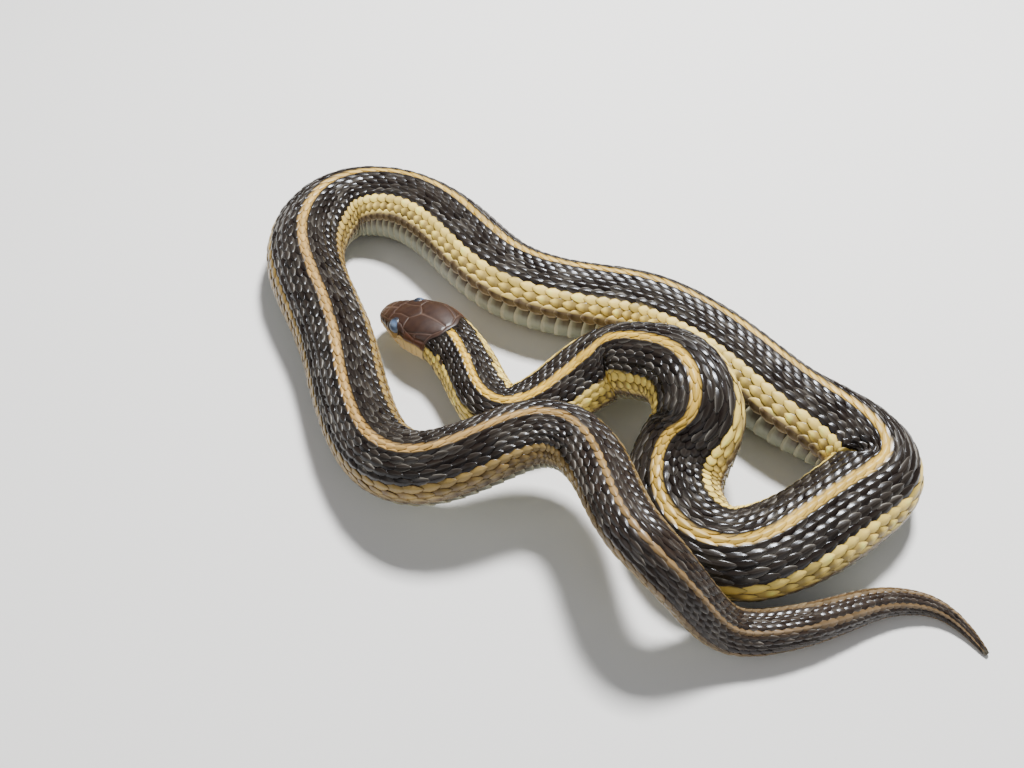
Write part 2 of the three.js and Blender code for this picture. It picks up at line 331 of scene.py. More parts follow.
# Shades of the marking that differ from the colours of the trunk
NECK_STRIPE = tint(232, 186, 60)
REAR_STRIPE = tint(184, 146, 82)
TAIL_STRIPE = tint(108, 86, 58)
TAIL_FIELD = tint(42, 31, 24)
REAR_SIDE = tint(150, 124, 66)
TAIL_SIDE = tint(94, 78, 58)
LOWEST_ROW = tint(68, 50, 34)
TAIL_LOWEST_ROW = tint(70, 62, 52)
NECK_BELLY = tint(172, 164, 120)

# Shades of the skin between the scales and of the scutes, and the painted highlight on the keels
FLANK_SKIN = tint(60, 50, 38)
PALE_FLECK = tint(160, 154, 128)
SCUTE_CORNER = tint(70, 54, 38)
SCUTE_EDGE = tint(196, 188, 158)
KEEL_SHINE = tint(214, 206, 188)

# Shades of the head
CROWN = tint(44, 24, 15)
CROWN_MOTTLE = tint(66, 42, 26)
SNOUT = tint(84, 62, 42)
CHEEK = tint(86, 50, 32)
SUTURE = tint(122, 98, 84)
FRONT_LIP = tint(206, 170, 106)
REAR_LIP = tint(224, 190, 122)
LIP_SUTURE = tint(52, 40, 32)
CHIN = tint(186, 172, 130)
# Painted shade in the crease of the mouth line
MOUTH_SHADE = tint(38, 26, 22)
NAPE = tint(24, 19, 18)

# Kinds of scale, and by kind the colour of edge, tip and root, how strongly edge, tip, root and keel
# highlight show, and variety
ON_STRIPE, ON_FIELD, ON_SIDE, ON_LOWEST = range(4)
EDGE_COLOUR = np.array([tint(100, 86, 66), tint(156, 150, 140), tint(84, 62, 36), tint(196, 176, 136)])
EDGE_STRENGTH = np.array([0.5, 0.0, 0.84, 0.6])
TIP_STRENGTH = np.array([0.5, 0.1, 0.8, 1.0])
# Root: painted shade where a scale tucks under the one before; on the lowest row a pale tint instead
ROOT_STRENGTH = np.array([0.2, 0.0, 0.36, 0.4])
# Keel: strength of the painted highlight along each scale's middle
KEEL_HIGHLIGHT_STRENGTH = np.array([0.12, 0.04, 0.1, 0.0])
VARIETY = np.array([0.12, 0.12, 0.17, 0.12])


def field_end(distance):
    """Turn in degrees where the dark field meets the side stripe: higher up the flank on the neck."""
    return FIELD_END - 10.0 * smoothstep(distance, 18, 26) * (1 - smoothstep(distance, 46, 90))


def marking(colours, distance, turn):
    """Colour by turn from the crown: crown stripe, dark field, side stripe, lowest row and belly."""
    a = np.abs(turn)
    d = np.asarray(distance, float)
    on_neck = 1 - smoothstep(d, 30, 120)
    on_tail = smoothstep(d, VENT - 40, VENT + 60)
    stripe = blend(np.array(colours.stripe), NECK_STRIPE, on_neck)
    stripe = blend(stripe, REAR_STRIPE, smoothstep(d, 290, 340))
    stripe = blend(stripe, TAIL_STRIPE, on_tail)
    field = blend(np.array(colours.field), TAIL_FIELD, on_tail * 0.8)
    side = blend(np.array(colours.side), REAR_SIDE, smoothstep(d, 296, 332))
    side = blend(side, TAIL_SIDE, on_tail * 0.9)
    low = blend(LOWEST_ROW, TAIL_LOWEST_ROW, on_tail)
    belly = blend(np.array(colours.belly), NECK_BELLY, on_neck)
    stripe = blend(field, stripe, smoothstep(d, 18.6, 20.0))
    colour = blend(stripe, field, smoothstep(a, STRIPE_EDGE - 1.2, STRIPE_EDGE + 0.4))
    colour = blend(colour, side, smoothstep(a - field_end(d), -1.0, 1.2))
    colour = blend(colour, low, smoothstep(a, SIDE_END - 0.8, SIDE_END + 1.4))
    return blend(colour, belly, smoothstep(a, LOW_END - 0.6, LOW_END + 1.4))


def make_mesh(name, points, faces, colours, spread, smooth, material):
    """Object from points in mm, arrays of faces, a colour for each point and a bake place for each corner."""
    mesh = bpy.data.meshes.new(name)
    corners = np.concatenate([f.reshape(-1) for f in faces])
    sizes = np.concatenate([np.full(len(f), f.shape[1]) for f in faces])
    starts = np.concatenate([[0], np.cumsum(sizes)[:-1]])
    mesh.vertices.add(len(points))
    mesh.vertices.foreach_set("co", (points * MM).astype(np.float32).reshape(-1))
    mesh.loops.add(len(corners))
    mesh.loops.foreach_set("vertex_index", corners.astype(np.int32))
    mesh.polygons.add(len(sizes))
    mesh.polygons.foreach_set("loop_start", starts.astype(np.int32))
    mesh.update(calc_edges=True)
    mesh.polygons.foreach_set("use_smooth", smooth)
    layer = mesh.color_attributes.new(name="Marking", type="FLOAT_COLOR", domain="POINT")
    rgba = np.concatenate([colours, np.ones((len(colours), 1))], axis=1)
    layer.data.foreach_set("color", rgba.astype(np.float32).reshape(-1))
    bake = mesh.uv_layers.new(name="OFBake")
    bake.data.foreach_set("uv", spread.astype(np.float32).reshape(-1))
    mesh.materials.append(material)
    mesh.update()
    piece = bpy.data.objects.new(name, mesh)
    bpy.context.collection.objects.link(piece)
    return piece


def tube_faces(rings, sides):
    """Quads of a closed tube of rings by sides, and the fans that close both ends on two extra points."""
    i, k = np.meshgrid(np.arange(rings - 1), np.arange(sides), indexing="ij")
    a = i * sides + k
    b = i * sides + (k + 1) % sides
    quads = np.stack([a, b, b + sides, a + sides], axis=-1).reshape(-1, 4)
    k = np.arange(sides)
    after = (k + 1) % sides
    first = np.stack([np.full(sides, rings * sides), after, k], axis=1)
    tail = (rings - 1) * sides
    last = np.stack([np.full(sides, rings * sides + 1), tail + k, tail + after], axis=1)
    return quads, np.vstack([first, last])


def tube_spread(distance, sides):
    """Bake places of a tube's corners: along by share of the whole length and round by share of the turn."""
    u = distance / BODY.length
    rings = len(u)
    i, k = np.meshgrid(np.arange(rings - 1), np.arange(sides), indexing="ij")
    corners = np.stack([
        np.stack([u[i], k / sides], axis=-1),
        np.stack([u[i], (k + 1) / sides], axis=-1),
        np.stack([u[i + 1], (k + 1) / sides], axis=-1),
        np.stack([u[i + 1], k / sides], axis=-1),
    ], axis=2).reshape(-1, 2)
    k = np.arange(sides)
    middle = (k + 0.5) / sides
    first = np.stack([
        np.stack([np.full(sides, u[0]), middle], axis=-1),
        np.stack([np.full(sides, u[0]), (k + 1) / sides], axis=-1),
        np.stack([np.full(sides, u[0]), k / sides], axis=-1),
    ], axis=1).reshape(-1, 2)
    last = np.stack([
        np.stack([np.full(sides, u[-1]), middle], axis=-1),
        np.stack([np.full(sides, u[-1]), k / sides], axis=-1),
        np.stack([np.full(sides, u[-1]), (k + 1) / sides], axis=-1),
    ], axis=1).reshape(-1, 2)
    return np.vstack([corners, first, last])


def tube_piece(name, distance, sides, surface, colour, material):
    """Closed tube of rings at the given distances, its points and colours given by functions of its grid."""
    turn = np.arange(sides) * 360.0 / sides
    turn = np.where(turn > 180, turn - 360, turn)
    d, t = np.meshgrid(distance, turn, indexing="ij")
    grid = surface(d, t)
    ends = grid[[0, -1]].mean(axis=1)
    points = np.vstack([grid.reshape(-1, 3), ends])
    shades = colour(d, t).reshape(-1, 3)
    shades = np.vstack([shades, shades[:1], shades[-1:]])
    quads, fans = tube_faces(len(distance), sides)
    smooth = np.ones(len(quads) + len(fans), bool)
    return make_mesh(name, points, [quads, fans], shades, tube_spread(distance, sides), smooth, material)


# Grid of one scale: places from root to tip, and from side to side
SCALE_ALONG = np.array([0.0, 0.25, 0.5, 0.74, 0.92, 1.0])
SCALE_ACROSS = np.array([-1.0, -0.74, -0.26, 0.0, 0.26, 0.74, 1.0])


def plate_faces(rows, columns):
    """Faces of one plate: top quads, quads of the rim's wall and the fan that closes the underside."""
    index = np.arange(rows * columns).reshape(rows, columns)
    top = np.stack([index[:-1, :-1], index[:-1, 1:], index[1:, 1:], index[1:, :-1]], axis=-1).reshape(-1, 4)
    rim = np.concatenate([index[0, :-1], index[:-1, -1], index[-1, :0:-1], index[:0:-1, 0]])
    lower = rows * columns + np.arange(len(rim))
    following = np.roll(lower, -1)
    wall = np.stack([rim, lower, following, np.roll(rim, -1)], axis=1)
    centre = np.full(len(rim), rows * columns + len(rim))
    return top, wall, np.stack([centre, following, lower], axis=1), rim


def plates_piece(name, d, turn, lift, floor_lift, colours, roots, material):
    """Joined mesh of many closed plates, each a grid of surface points with a wall down into the hide.

    d, turn and lift have one plane for each plate. roots holds each plate's own place on the bake map, where
    the plate takes a small patch.
    """
    count, rows, columns = d.shape
    top, wall, under, rim = plate_faces(rows, columns)
    upper = BODY.point(d, turn, lift).reshape(count, -1, 3)
    flat_d, flat_t = d.reshape(count, -1), turn.reshape(count, -1)
    lower_lift = np.full((count, len(rim)), floor_lift)
    lower = BODY.point(flat_d[:, rim], flat_t[:, rim], lower_lift)
    middle = BODY.point(flat_d.mean(axis=1), flat_t.mean(axis=1), np.full(count, floor_lift))[:, None]
    points = np.concatenate([upper, lower, middle], axis=1)
    shades = colours.reshape(count, -1, 3)
    shades = np.concatenate([shades, shades[:, rim], shades.mean(axis=1, keepdims=True)], axis=1)
    each = points.shape[1]
    shift = (np.arange(count) * each)[:, None, None]
    faces = [(f[None] + shift).reshape(-1, f.shape[1]) for f in (np.vstack([top, wall]), under)]
    smooth_plate = np.arange(len(top) + len(wall)) < len(top)
    smooth = np.concatenate([np.tile(smooth_plate, count), np.zeros(count * len(under), bool)])
    a, b = np.meshgrid(np.linspace(0, 1, rows), np.linspace(0, 1, columns), indexing="ij")
    local = np.stack([a.reshape(-1), b.reshape(-1)], axis=1)
    local = np.vstack([local, local[rim], [[0.5, 0.5]]])
    places = (roots[:, None] + BAKE_PATCH * (local[None] - 0.5)).reshape(-1, 2)
    spread = places[np.concatenate([f.reshape(-1) for f in faces])]
    return make_mesh(name, points.reshape(-1, 3), faces, shades.reshape(-1, 3), spread, smooth, material)


def pitch_at(distance):
    """Length of one scale's step: short on the nape, longest on the trunk, short again on the tail."""
    return np.interp(distance, *SCALE_PITCH.T)


def size_at(distance):
    """Share of a full scale's height, by the local step."""
    return np.clip(pitch_at(distance) / FULL_PITCH, 0.3, 1.0)


def station_distances(start, end):
    """Distances of the crossing lines of scales, half a local step apart."""
    fine = np.linspace(start, end, PITCH_SAMPLES)
    count = np.concatenate([[0], np.cumsum(np.diff(fine) / pitch_at(fine[1:]))])
    return np.interp(np.arange(0, int(count[-1]) + 1, 0.5), count, fine)


def scale_layout(start, end, widths):
    """Centres and half widths in degrees of the scales between two distances, half a step apart by row."""
    edges = np.cumsum(widths)
    centres = np.concatenate([[0], (edges[:-1] + edges[1:]) / 2])
    halves = np.concatenate([[widths[0]], np.diff(edges) / 2])
    rows = np.arange(-len(widths) + 1, len(widths))
    stations = station_distances(SCALES_START, BODY.length)
    number = np.arange(len(stations))
    inside = (stations >= start) & (stations < end)
    n, r = np.meshgrid(number[inside], rows, indexing="ij")
    keep = (n + r) % 2 == 0
    n, r = n[keep], r[keep]
    turn = np.sign(r) * centres[np.abs(r)]
    return stations[n], turn, halves[np.abs(r)]


def nape_start(turn):
    """Distance where small scales follow the head shields, sooner on the cheek than on the crown."""
    return 18.9 - 1.3 * smoothstep(np.abs(turn), 20, 50)


def bake_roots(d, turn):
    """Place of each scale's root on the bake map: along by distance and round by turn."""
    return np.stack([0.002 + 0.996 * d / BODY.length, 0.5 + turn / 362.0], axis=-1)


def scale_planes(d, turn, half, sizes, colours, seed):
    """Plates of small keeled scales, with their colours.

    Each is a rounded lozenge, widest before the middle, that tucks its root under the one before, carries a
    low keel along its middle and lifts towards its free tip. Its height is a slope, plus the keel and a dome.
    """
    rng = np.random.default_rng(seed)
    a = SCALE_ALONG[None, :, None]
    b = SCALE_ACROSS[None, None, :]
    pitch = pitch_at(d)[:, None, None]
    flank = (np.abs(turn) > field_end(d))[:, None, None]
    outline = (1 - np.abs((a - 0.45) / 0.56) ** 1.7) ** 0.72
    plane_d = d[:, None, None] + sizes.overlap * pitch * (a - 0.45) + 0 * b
    plane_t = turn[:, None, None] + np.where(flank, 1.34, 1.26) * half[:, None, None] * outline * b
    slope = -0.42 + 0.44 * a**0.75 - 0.07 * smoothstep(a, 0.8, 1.0)
    dome = 0.2 * (1 - b**2) * np.sin(np.pi * (0.12 + 0.8 * a))
    keel = sizes.keel * np.where(flank, 0.3, 1.0) * np.exp(-((b / 0.2) ** 2)) * smoothstep(a, 0.1, 0.45)
    rise = (slope + keel + dome + 0.03 * rng.normal(size=pitch.shape)) * size_at(d)[:, None, None]
    shade = scale_shades(colours, d, plane_d, plane_t, turn, a, b, rng)
    return plane_d, plane_t, rise, shade


def scale_shades(colours, d, plane_d, plane_t, turn, a, b, rng):
    """Colours of the scales: the marking at each, a little lighter or darker from scale to scale.

    Edges differ by kind: broken pale flecks on the dark field, brown on the stripes, pale on the lowest row.
    Roots of the side stripe's scales carry painted brown shade where each tucks under the scale before,
    deeper on its lower rows, whose edges are painted darker too. A painted highlight runs along each keel.
    The marking wanders a little to each side from scale to scale, most on the sides of the neck.
    """
    count = len(turn)
    side = np.abs(turn)
    wander = 0.4 + smoothstep(side, 20, 40) * (0.4 + 1.9 * (1 - smoothstep(d, 30, 80)))
    shift = 0.4 * turn + wander * rng.normal(size=count)
    shade = marking(colours, plane_d, 0.6 * plane_t + shift[:, None, None])
    bands = [side < STRIPE_EDGE, side < field_end(d), side < SIDE_END]
    kind = np.select(bands, [ON_STRIPE, ON_FIELD, ON_SIDE], ON_LOWEST)
    # The side stripe's lower rows get more painted shade, at their edges and roots
    low = smoothstep(side, 64, 86)
    strength = EDGE_STRENGTH[kind] + (kind == ON_FIELD) * rng.uniform(0.0, 0.92, count) ** 2
    strength += (kind == ON_SIDE) * (0.2 * low + 0.12 * rng.uniform(-1.0, 1.0, count))
    tip = smoothstep(a, 0.86, 1.0) * TIP_STRENGTH[kind][:, None, None]
    # Painted shade at the root, where a scale tucks under the one before: brown on the side stripe, faint on
    # the crown stripe; pale on the lowest row
    root_strength = ROOT_STRENGTH[kind] + 0.55 * (kind == ON_SIDE) * low
    root = (1 - smoothstep(a - 0.14 * low[:, None, None], 0.3, 0.7)) * root_strength[:, None, None]
    edge = np.maximum(smoothstep(np.abs(b), 0.65, 0.94), np.maximum(tip, root))
    shade = blend(shade, EDGE_COLOUR[kind][:, None, None], edge * strength[:, None, None])
    # Painted highlight along the keel, brighter towards the free tip
    keel_highlight = np.exp(-((b / 0.3) ** 2)) * (0.3 + 0.7 * a) * KEEL_HIGHLIGHT_STRENGTH[kind][:, None, None]
    shade = blend(shade, KEEL_SHINE, keel_highlight)
    own = 1 + VARIETY[kind][:, None, None, None] * rng.normal(size=(count, 1, 1, 1))
    return np.clip(shade * own, 0, 1)


class Socket:
    """A node's output, with arithmetic that adds Math nodes to the same material."""

    def __init__(self, finish, socket):
        self.finish = finish
        self.socket = socket

    def math(self, operation, first, second):
        """Output of a new Math node on two values or outputs."""
        return self.finish.node("ShaderNodeMath", {"operation": operation}, {0: first, 1: second})

    def __add__(self, other):
        return self.math("ADD", self, other)

    __radd__ = __add__

    def __sub__(self, other):
        return self.math("SUBTRACT", self, other)

    def __rsub__(self, other):
        return self.math("SUBTRACT", other, self)

    def __mul__(self, other):
        return self.math("MULTIPLY", self, other)

    __rmul__ = __mul__


class Finish:
    """One material with a Principled shader, built by nodes."""

    def __init__(self, name, **constants):
        self.material = bpy.data.materials.new(name)
        self.material.use_nodes = True
        self.tree = self.material.node_tree
        self.shader = self.tree.nodes["Principled BSDF"]
        for socket, value in constants.items():
            self.shader.inputs[socket.replace("_", " ")].default_value = value

    def node(self, kind, settings, values, output=0):
        """Adds a node, makes its settings, then sets or links its inputs, and gives one of its outputs."""
        node = self.tree.nodes.new(kind)
        for key, value in settings.items():
            if key == "stops":
                while len(node.color_ramp.elements) < len(value):
                    node.color_ramp.elements.new(0.5)
                for element, (position, colour) in zip(node.color_ramp.elements, value):
                    element.position = position
                    element.color = (*colour, 1.0)
            else:
                setattr(node, key, value)
        for key, value in values.items():
            if isinstance(value, Socket):
                self.tree.links.new(value.socket, node.inputs[key])
            else:
                node.inputs[key].default_value = value
        return Socket(self, node.outputs[output])

    def feed(self, name, value):
        """Links a value to a socket of the shader."""
        self.tree.links.new(value.socket, self.shader.inputs[name])

    def coordinates(self):
        """Object coordinates, in metres."""
        return self.node("ShaderNodeTexCoord", {}, {}, "Object")

    def noise(self, scale, detail=3.0, roughness=0.55):
        """Noise from 0 to 1 over Object coordinates."""
        values = {"Vector": self.coordinates(), "Scale": scale, "Detail": detail, "Roughness": roughness}
        return self.node("ShaderNodeTexNoise", {}, values, "Fac")

    def mix(self, factor, low, high, blend_type="MIX"):
        """Two colours blended by a factor."""
        settings = {"data_type": "RGBA", "blend_type": blend_type}
        return self.node("ShaderNodeMix", settings, {0: factor, 6: low, 7: high}, 2)

    def bump(self, height, strength, distance):
        """Fine relief for the shader's normal."""
        values = {"Height": height, "Strength": strength, "Distance": distance}
        self.feed("Normal", self.node("ShaderNodeBump", {}, values))


# Marked finishes: roughness, its spread, strength of the grain, its scale, depth of the relief in metres
MARKED_FINISHES = {
    "hide": (0.55, 0.2, 0.2, 1500.0, 0.00006),
    "head_hide": (0.4, 0.14, 0.14, 1800.0, 0.00004),
    "scales": (0.21, 0.14, 0.16, 2400.0, 0.00004),
    "belly": (0.4, 0.16, 0.12, 1200.0, 0.00003),
}


def marked_finish(name, **constants):
    """Finish in the piece's own marking, shaded by two sizes of noise and duller where it is pale."""
    roughness, spread, grain, grain_scale, depth = MARKED_FINISHES[name]
    finish = Finish(name, **constants)
    marking_colour = finish.node("ShaderNodeAttribute", {"attribute_name": "Marking"}, {}, "Color")
    broad = finish.noise(90.0, 2.0)
    fine = finish.noise(grain_scale, 4.0, 0.65)
    level = 0.66 + 0.46 * broad + grain * fine
    tone = finish.node("ShaderNodeCombineColor", {}, {"Red": level, "Green": level, "Blue": level})
    finish.feed("Base Color", finish.mix(1.0, marking_colour, tone, "MULTIPLY"))
    pale = finish.node("ShaderNodeRGBToBW", {}, {"Color": marking_colour})
    finish.feed("Roughness", roughness - spread / 2 + spread * fine + 0.38 * pale)
    finish.bump(fine, 0.35, depth)
    return finish.material


def eye_finish(name, pole):
    """Clouded blue lens over a dim pupil: colour by a point's distance in mm from the eye's outward pole."""
    finish = Finish(name, Roughness=0.34, Coat_Weight=0.12, Coat_Roughness=0.1)
    place = finish.coordinates()
    away = finish.node("ShaderNodeVectorMath", {"operation": "DISTANCE"}, {0: place, 1: pole}, "Value")
    cloud = finish.noise(900.0, 3.0)
    reach = away * 1000.0 + 0.5 * cloud - 0.25
    stops = [
        (0.0, tuple(tint(52, 70, 104))),
        (0.3, tuple(tint(66, 88, 124))),
        (0.5, tuple(tint(116, 138, 168))),
        (0.72, tuple(tint(92, 114, 146))),
        (1.0, tuple(tint(34, 38, 48))),
    ]
    ramp = finish.node("ShaderNodeValToRGB", {"stops": stops}, {"Fac": reach * 0.42}, "Color")
    finish.feed("Base Color", ramp)
    return finish.material


# Sutures between the shields of the head, as lines of distance in mm and turn in degrees on one side
HEAD_SUTURES = (
    ((0.9, 0), (1.0, 36), (1.3, 50)),
    ((0.9, 0), (4.9, 0)),
    ((2.6, 0), (2.7, 30), (2.4, 50)),
    ((4.9, 0), (4.8, 10), (5.2, 20), (4.9, 50)),
    ((5.2, 20), (7.0, 14), (9.8, 16), (11.6, 0)),
    ((9.8, 16), (9.9, 34), (10.0, 50)),
    ((11.6, 0), (18.0, 0)),
    ((1.3, 50), (4.9, 50), (6.0, 43), (7.6, 40), (9.2, 43), (10.0, 50)),
    ((10.0, 50), (11.3, 56), (13.6, 49), (17.3, 32), (18.3, 12), (18.0, 0)),
    ((3.2, 50), (3.3, 82)),
    ((4.8, 50), (4.8, 82)),
    ((1.3, 50), (0.9, 84)),
    ((0.9, 84), (4.8, 82), (5.8, 86), (9.4, 82), (10.6, 79), (16.0, 76)),
    ((10.0, 50), (10.8, 62), (10.6, 79)),
    ((9.4, 68), (10.8, 70)),
    ((11.3, 56), (13.8, 64), (14.0, 77)),
    ((13.8, 64), (16.8, 58), (17.3, 32)),
    ((16.8, 58), (17.0, 75)),
    ((13.6, 49), (13.8, 64)),
    ((1.6, 84), (1.5, 118)),
    ((3.2, 83), (3.2, 118)),
    ((4.9, 83), (4.9, 117)),
    ((6.6, 86), (6.7, 116)),
    ((8.5, 84), (8.6, 114)),
    ((10.6, 79), (10.7, 110)),
    ((12.7, 78), (12.8, 107)),
    ((14.8, 77), (14.9, 106)),
    ((1.3, 118), (1.4, 142)),
    ((2.7, 118), (2.8, 142)),
    ((4.2, 117), (4.4, 143)),
    ((5.9, 116), (6.1, 143)),
    ((7.7, 114), (8.0, 142)),
    ((9.7, 111), (10.0, 140)),
    ((11.7, 108), (12.0, 138)),
    ((1.0, 180), (1.3, 150), (2.8, 142), (6.1, 143), (10.0, 140), (13.6, 134)),
    ((1.3, 150), (2.0, 180), (9.6, 180)),
    ((5.4, 180), (5.8, 160), (6.1, 143)),
    ((9.6, 180), (9.8, 160), (10.0, 140)),
)


def suture_distance(d, turn):
    """Distance in mm on the surface to the nearest suture: the least of those to its straight pieces."""
    per_degree = BODY.girth(d) / 360.0
    nearest = np.full(d.shape, 9.0)
    a = np.abs(turn)
    for line in HEAD_SUTURES:
        for (d0, t0), (d1, t1) in zip(line[:-1], line[1:]):
            along, across = d1 - d0, (t1 - t0) * per_degree
            forward, sideways = d - d0, (a - t0) * per_degree
            part = np.clip((forward * along + sideways * across) / (along**2 + across**2), 0, 1)
            nearest = np.minimum(nearest, np.hypot(forward - part * along, sideways - part * across))
    return nearest


def mouth_angle(d):
    """Turn of the mouth line in degrees from the crown, rising towards the corner of the jaw."""
    return 116 - 12 * smoothstep(d, 6, MOUTH_CORNER)


def eye_centre(side):
    """Centre of an eye in millimetres, set out from the axis of the head."""
    left, up = BODY.read(BODY.left, EYE_DISTANCE), BODY.read(BODY.up, EYE_DISTANCE)
    return BODY.read(BODY.place, EYE_DISTANCE) + side * EYE_SIDE * left + EYE_RISE * up


def nostril_centre(side):
    """Centre of a nostril pit in millimetres."""
    left, up = BODY.read(BODY.left, NOSTRIL_DISTANCE), BODY.read(BODY.up, NOSTRIL_DISTANCE)
    return BODY.read(BODY.place, NOSTRIL_DISTANCE) + side * NOSTRIL_SIDE * left + NOSTRIL_RISE * up


def head_points(d, turn):
    """Surface of the head: the oval section with shields, sutures, a mouth line, nostrils and eye sockets."""
    a = np.abs(turn)
    gap = suture_distance(d, turn)
    behind = d - nape_start(turn)
    under_scales = smoothstep(behind, -0.15, 0.45)
    groove = 0.09 * np.exp(-((gap / 0.3) ** 2)) + 0.05 * np.exp(-((gap / 0.09) ** 2))
    shields = -groove * (1 - smoothstep(behind, -1.1, -0.3))
    fade = 1 - smoothstep(d, LIP_FADE, LIP_END)
    below_lip = (a - mouth_angle(d)) * BODY.girth(d) / 360.0
    lip = -0.34 * np.exp(-((below_lip / 0.13) ** 2)) * fade * smoothstep(d, -0.3, 0.6)
    jaw = -0.17 * smoothstep(below_lip, 0.0, 0.4) * fade
    swell = 0.1 * np.exp(-(((below_lip + 0.55) / 0.4) ** 2)) * fade
    brow = BROW_SWELL * np.exp(-(((d - EYE_DISTANCE) / 1.9) ** 2) - ((a - 50) / 14) ** 2)
    lift = (shields + lip + jaw + swell) * (1 - under_scales) - 0.42 * under_scales + brow
    points = BODY.point(d, turn, lift)
    for side in (1, -1):
        points = sink_eye(points, side)
        pit = np.linalg.norm(points - nostril_centre(side), axis=-1)
        inward = BODY.read(BODY.left, d) * -side
        points = points + inward * (0.4 * np.exp(-((pit / 0.34) ** 4)))[..., None]
    return points


def sink_eye(points, side):
    """Points over an eye pressed back onto a cup just outside the eyeball's far side, with a raised rim."""
    centre = eye_centre(side)
    outward = BODY.read(BODY.left, EYE_DISTANCE) * side
    offset = points - centre
    out = offset @ outward
    flat = offset - out[..., None] * outward
    radius = np.linalg.norm(flat, axis=-1)
    rim = EYE_RADIUS * 0.93
    cup = -np.sqrt(np.clip((EYE_RADIUS + 0.12) ** 2 - radius**2, 0, None))
    sunk = np.where(out > -0.5, 1 - smoothstep(radius, rim - 0.12, rim + 0.1), 0.0)
    ring = 0.1 * np.exp(-(((radius - rim - 0.22) / 0.16) ** 2)) * (out > -0.5)
    shift = sunk * (cup - out) + ring
    return points + shift[..., None] * outward


def head_colour(colours, d, turn):
    """Brown shields with paler sutures, reddish cheeks, tan lips with dark sutures, a pale chin and painted
    shade in the mouth's crease.
    """
    a = np.abs(turn)
    gap = suture_distance(d, turn)
    lip = mouth_angle(d)
    top = 83.5 - 6.0 * smoothstep(d, 8.0, 15.0) - 9.0 * np.exp(-(((d - 9.8) / 0.9) ** 2))
    crown = np.broadcast_to(CROWN, (*d.shape, 3))
    mottle = 0.5 + 0.5 * np.sin(d * 2.3 + 1.3 * np.sin(turn / 9)) * np.cos(turn / 7 + d)
    crown = blend(crown, CROWN_MOTTLE, 0.35 * mottle)
    crown = blend(crown, SNOUT, 0.5 * (1 - smoothstep(d, 1.0, 5.0)))
    cheek = blend(crown, CHEEK, smoothstep(a, 54, 64) * smoothstep(d, 10.0, 11.2))
    lips = blend(FRONT_LIP, REAR_LIP, smoothstep(d, 4, 12))
    seam = np.exp(-((gap / 0.075) ** 2))
    crown = blend(cheek, SUTURE, 0.4 * seam * (a < top))
    lips = blend(lips, LIP_SUTURE, 0.55 * seam)
    colour = blend(crown, lips, smoothstep(a, top - 2.5, top + 2.5))
    colour = blend(colour, np.broadcast_to(CHIN, (*d.shape, 3)), smoothstep(a, lip + 8, lip + 26))
    below_lip = (a - lip) * BODY.girth(d) / 360.0
    # Painted shade in the mouth's crease, fading behind the corner of the lips
    mouth_shade = np.exp(-((below_lip / 0.12) ** 2)) * (1 - smoothstep(d, LIP_FADE, LIP_END))
    colour = blend(colour, MOUTH_SHADE, 0.85 * mouth_shade)
    under = blend(hide_colour(colours, d, turn), NAPE, 1 - smoothstep(a - field_end(d), -1.0, 1.0))
    return blend(colour, under, smoothstep(d - nape_start(turn), -0.25, 0.1))


def hide_colour(colours, d, turn):
    """Skin between the scales: dim, with pale flecks in the dark field and brown under the side stripe."""
    a = np.abs(turn)
    colour = marking(colours, d, turn) * 0.5
    flank = smoothstep(a - field_end(d), 0, 3) * (1 - smoothstep(a, SIDE_END, SIDE_END + 3))
    colour = blend(colour, FLANK_SKIN, 0.8 * flank)
    dark = smoothstep(a, 8.0, 11.0) * (1 - smoothstep(a - field_end(d), -2.0, 2.0))
    flecks = 0.5 + 0.5 * np.sin(d * 5.1 + turn * 0.7) * np.cos(turn * 1.1 - d * 2.7)
    return blend(colour, PALE_FLECK, 0.8 * dark * flecks**2)


def sunk_points(depth, d, turn):
    """Surface of the hide: the body's own, lowered by the depth, and by less where the body is thin."""
    return BODY.point(d, turn, -depth * np.clip(BODY.read(BODY.half, d) / 4.0, 0.12, 1.0))


class SnakeSizes(bpy.types.PropertyGroup):
    """Sizes of the hide and scales."""

    hide_depth: bpy.props.FloatProperty(
        name="Hide Depth",
        description="How far the hide lies under the scales' level, in millimetres",
        default=0.42,
    )
    overlap: bpy.props.FloatProperty(
        name="Overlap",
        description="Length of a scale as a share of its step along the body",
        default=1.5,
    )
    keel: bpy.props.FloatProperty(
        name="Keel",
        description="Height of the keel on a scale of the back, in millimetres",
        default=0.1,
    )
    belly_overlap: bpy.props.FloatProperty(
        name="Belly Overlap",
        description="Length of a belly scute as a share of its step",
        default=1.3,
    )


class SnakeColours(bpy.types.PropertyGroup):
    """Colours of the trunk's marking and of the floor."""

    stripe: bpy.props.FloatVectorProperty(
        name="Stripe",
        description="Colour of the stripe along the crown of the back",
        subtype="COLOR",
        size=3,
        default=tuple(tint(206, 168, 70)),
    )
    field: bpy.props.FloatVectorProperty(
        name="Field",
        description="Colour of the dark fields between the stripes",
        subtype="COLOR",
        size=3,
        default=tuple(tint(22, 14, 10)),
    )
    side: bpy.props.FloatVectorProperty(
        name="Side",
        description="Colour of the stripe along each flank",
        subtype="COLOR",
        size=3,
        default=tuple(tint(255, 222, 112)),
    )
    belly: bpy.props.FloatVectorProperty(
        name="Belly",
        description="Colour of the scutes under the body",
        subtype="COLOR",
        size=3,
        default=tuple(tint(138, 142, 124)),
    )
    floor: bpy.props.FloatVectorProperty(
        name="Floor",
        description="Colour of the plain floor",
        subtype="COLOR",
        size=3,
        default=(0.8, 0.79, 0.77),
    )


